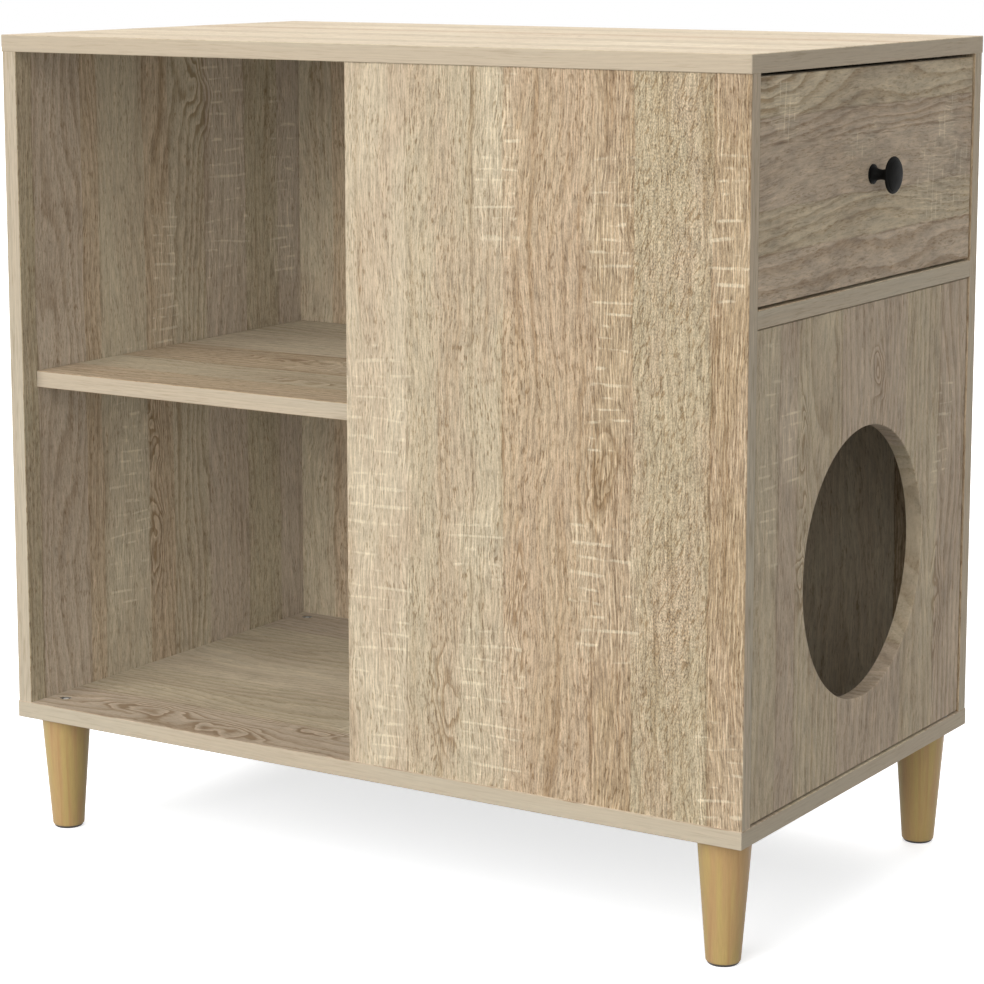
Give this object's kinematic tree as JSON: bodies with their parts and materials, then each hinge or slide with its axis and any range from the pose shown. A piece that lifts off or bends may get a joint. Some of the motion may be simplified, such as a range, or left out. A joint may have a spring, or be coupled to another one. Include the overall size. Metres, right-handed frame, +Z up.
{
  "type": "cat house",
  "caption": "Cat house cabinet of laminated board on turned legs: an open shelf bay, a drawer on roller runners and a cat chamber behind a pivoted door with a round entry hole.",
  "frame": {"origin": "on the floor, under the middle of the whole object's box, the knob included", "axes": "+X along the long side towards the drawer and the door, -Y towards the open bay, +Z up"},
  "size_m": [0.8232, 0.472, 0.781],
  "materials": {
    "oak_board": "melamine board with a pale sawn-oak print, low sheen",
    "drawer_board": "thin melamine board with a pale sawn-oak print",
    "drawer_bottom_board": "white lacquered hardboard",
    "pine": "clear satin lacquer on turned pine",
    "beech": "raw fluted beech",
    "zinc_steel": "bright zinc plating",
    "zinc_casting": "die-cast zinc",
    "runner_steel": "white powder coat",
    "nylon": "moulded nylon",
    "glide_plastic": "dark felt-faced plastic",
    "catch_plastic": "dark brown moulded plastic",
    "black_enamel": "black satin enamel"
  },
  "bodies": {
    "cabinet": {"top_panel": "oak_board", "bottom_panel": "oak_board", "left_side": "oak_board", "back_panel": "oak_board", "front_panel": "oak_board", "divider": "oak_board", "drawer_deck": "oak_board", "bay_shelf": "oak_board", "shelf_pins": "zinc_steel", "leg_front_left": "pine", "leg_front_right": "pine", "leg_back_left": "pine", "leg_back_right": "pine", "leg_inserts": "zinc_steel", "leg_bolts": "zinc_steel", "leg_glides": "glide_plastic", "dowels": "beech", "panel_screws": "zinc_steel", "cam_locks": "zinc_casting", "cam_bolts": "zinc_steel", "rail_front": "runner_steel", "rail_back": "runner_steel", "rail_screws": "zinc_steel", "door_catch": "catch_plastic", "catch_screws": "zinc_steel", "pivot_bushes": "nylon"},
    "drawer": {"drawer_front": "oak_board", "drawer_side_front": "drawer_board", "drawer_side_back": "drawer_board", "drawer_back": "drawer_board", "drawer_bottom": "drawer_bottom_board", "drawer_dowels": "beech", "drawer_screws": "zinc_steel", "runner_front": "runner_steel", "runner_back": "runner_steel", "runner_screws": "zinc_steel", "knob": "black_enamel", "knob_screw": "zinc_steel"},
    "rail_roller_pair": {"rail_rollers": "nylon"},
    "drawer_roller_pair": {"drawer_rollers": "nylon"},
    "door": {"entry_door": "oak_board", "pivot_pins": "zinc_steel", "catch_plate": "zinc_steel", "plate_screws": "zinc_steel"}
  },
  "joints": [
    {"name": "drawer_slide", "type": "slide", "parent": "cabinet", "child": "drawer", "axis": [1, 0, 0], "range_m": [0, 0.26]},
    {"name": "rail_roller_spin", "type": "hinge", "parent": "cabinet", "child": "rail_roller_pair", "pos_m": [0.3566, 0, 0.5852], "axis": [0, 1, 0], "range_deg": [0, 1500]},
    {"name": "drawer_roller_spin", "type": "hinge", "parent": "drawer", "child": "drawer_roller_pair", "pos_m": [0.0326, 0, 0.5852], "axis": [0, 1, 0], "range_deg": [0, 1500]},
    {"name": "door_swing", "type": "hinge", "parent": "cabinet", "child": "door", "pos_m": [0.3786, 0.1954, 0.342], "axis": [0, 0, 1], "range_deg": [0, 110]}
  ],
  "couplings": [
    {"joint": "rail_roller_spin", "follows": "drawer_slide", "rad_per_m": 100},
    {"joint": "drawer_roller_spin", "follows": "drawer_slide", "rad_per_m": 100}
  ]
}
